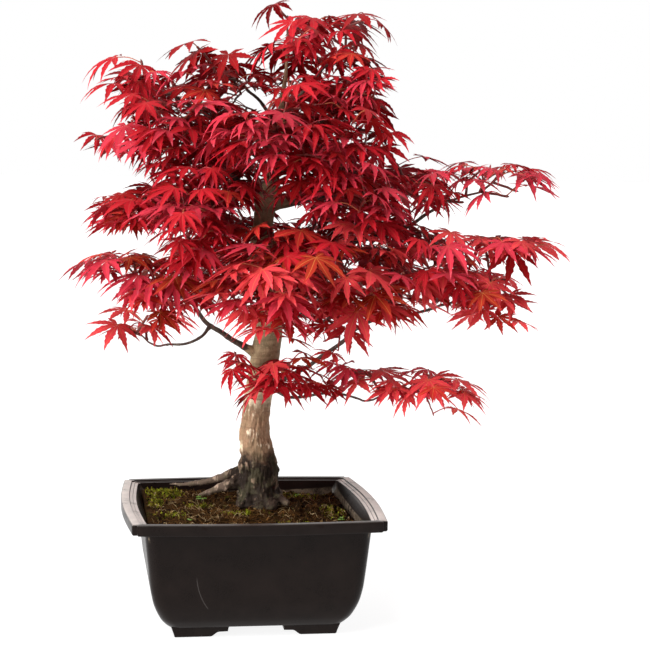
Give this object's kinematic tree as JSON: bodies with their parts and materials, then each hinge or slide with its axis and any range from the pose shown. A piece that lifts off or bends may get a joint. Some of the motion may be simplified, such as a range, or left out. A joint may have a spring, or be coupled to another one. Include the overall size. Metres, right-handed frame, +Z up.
{
  "type": "potted dwarf maple tree",
  "caption": "Red-leaved dwarf maple with a leaning tapered trunk and a layered open crown, in a square black pot with a bowed rim and bracket feet.",
  "frame": {"origin": "bottom centre of the whole plant's box, on the plane of the pot's soles", "axes": "+Z up the trunk, +X towards the crown's longer side, the pot's front face looks along -Y"},
  "size_m": [0.4058, 0.3126, 0.5118],
  "materials": {
    "black_plastic": "matt moulded plastic, near black",
    "earth": "rough moist potting soil with moss",
    "bark": "rough bark, dark and fissured at the foot and smoother above",
    "limb_bark": "smooth brown young bark",
    "red_leaf": "soft satin leaf, crimson to orange red"
  },
  "bodies": {
    "root": {"bough_back_left": "limb_bark", "bough_back_low": "limb_bark", "bough_back_right": "limb_bark", "bough_back_top": "limb_bark", "bough_front_left": "limb_bark", "bough_front_low": "limb_bark", "bough_front_upper": "limb_bark", "bough_left_bottom": "limb_bark", "bough_left_crown": "limb_bark", "bough_left_low": "limb_bark", "bough_left_mid": "limb_bark", "bough_left_top": "limb_bark", "bough_left_upper": "limb_bark", "bough_lower_right": "limb_bark", "bough_middle_right": "limb_bark", "bough_middle_upper": "limb_bark", "bough_right": "limb_bark", "bough_right_crown": "limb_bark", "bough_right_low": "limb_bark", "bough_right_outer": "limb_bark", "bough_upper_right": "limb_bark", "foliage_back_left": "red_leaf", "foliage_back_low": "red_leaf", "foliage_back_right": "red_leaf", "foliage_back_top": "red_leaf", "foliage_bottom_left": "red_leaf", "foliage_crown_left": "red_leaf", "foliage_crown_right": "red_leaf", "foliage_crown_top": "red_leaf", "foliage_front_left": "red_leaf", "foliage_front_low": "red_leaf", "foliage_front_upper": "red_leaf", "foliage_low_left": "red_leaf", "foliage_low_middle": "red_leaf", "foliage_low_right": "red_leaf", "foliage_low_right_outer": "red_leaf", "foliage_lower_right": "red_leaf", "foliage_mid_left": "red_leaf", "foliage_middle_right": "red_leaf", "foliage_right_front": "red_leaf", "foliage_right_inner": "red_leaf", "foliage_right_outer": "red_leaf", "foliage_top_left": "red_leaf", "foliage_upper_left": "red_leaf", "foliage_upper_right": "red_leaf", "pot": "black_plastic", "soil": "earth", "trunk": "bark"}
  },
  "joints": []
}
